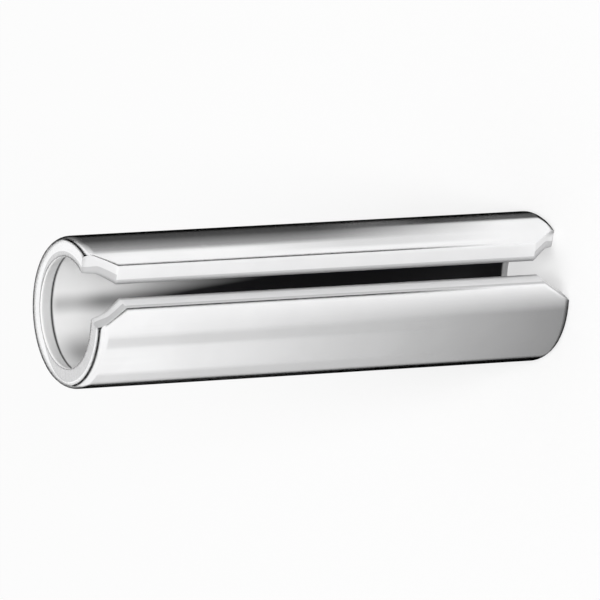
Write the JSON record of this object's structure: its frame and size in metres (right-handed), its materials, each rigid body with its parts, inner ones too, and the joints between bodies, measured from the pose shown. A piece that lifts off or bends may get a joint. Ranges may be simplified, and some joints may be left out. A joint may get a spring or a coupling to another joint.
{
  "type": "slotted spring pin",
  "caption": "Slotted spring pin: a C-shaped tube of rolled spring steel with swaged ends, pressed into a hole to lock or locate parts.",
  "frame": {"origin": "on the pin's axis at the middle of its lower end face", "axes": "+Z along the pin's axis, up from the end face it stands on; the slot faces -Y"},
  "size_m": [0.0086, 0.0084, 0.03],
  "materials": {
    "spring_steel": "bright rolled spring steel, tumbled"
  },
  "bodies": {
    "root": {"spring_pin": "spring_steel"}
  },
  "joints": []
}
